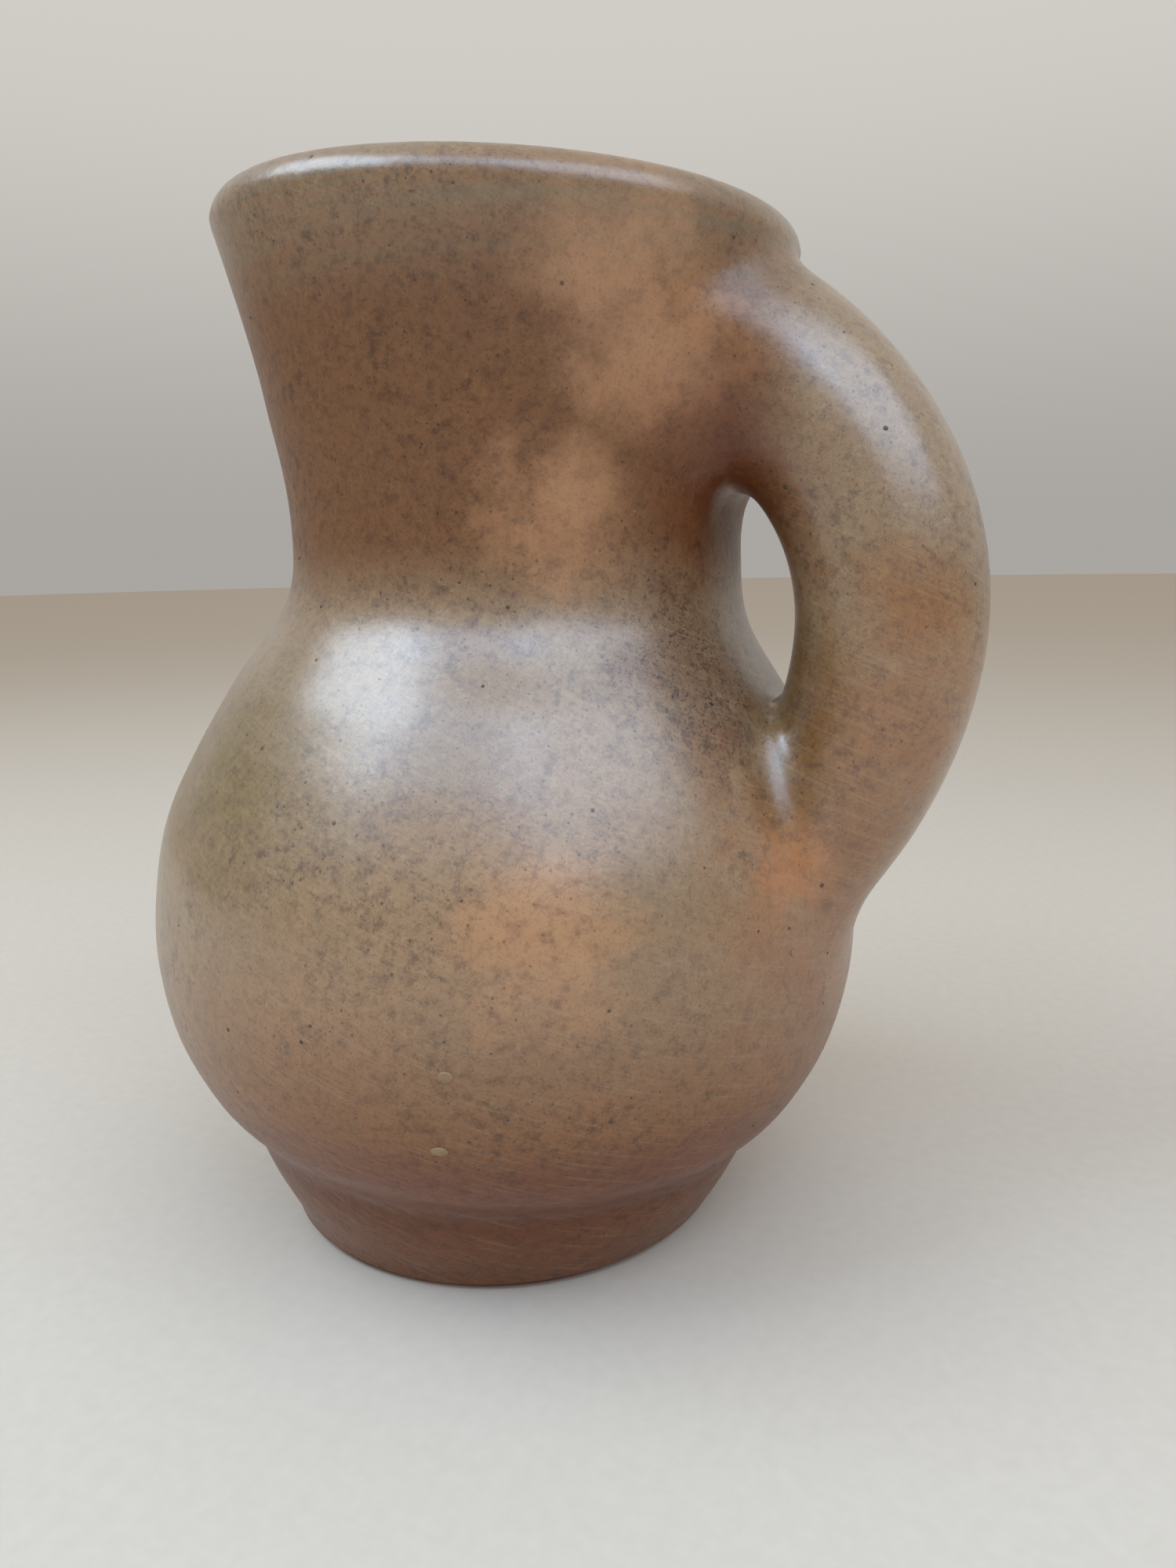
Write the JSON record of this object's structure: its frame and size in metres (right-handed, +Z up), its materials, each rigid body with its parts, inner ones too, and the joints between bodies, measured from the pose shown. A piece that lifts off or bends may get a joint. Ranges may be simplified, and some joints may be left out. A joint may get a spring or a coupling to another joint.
{
  "type": "ceramic jug",
  "caption": "Thick-walled stoneware jug with a round belly, flared neck, rounded lip and one fat bowed handle, in a mottled olive-beige satin glaze.",
  "frame": {"origin": "middle of the foot's flat underside, on the plane the jug stands on", "axes": "+Z up, +X towards the handle, +Y across the handle, to the left of someone looking along +X"},
  "size_m": [0.2105, 0.1814, 0.254],
  "materials": {
    "satin_glaze": "satin, mottled olive-beige with fine dark specks",
    "inside_glaze": "satin, plain",
    "bare_clay": "matt fired clay"
  },
  "bodies": {
    "root": {"floor": "bare_clay", "foot": "bare_clay", "lower_belly": "bare_clay", "shoulder": "bare_clay", "neck": "bare_clay", "lip": "bare_clay", "handle": "bare_clay", "upper_joint": "bare_clay", "lower_joint": "bare_clay", "outer_glaze": "satin_glaze", "inner_glaze": "inside_glaze"}
  },
  "joints": []
}
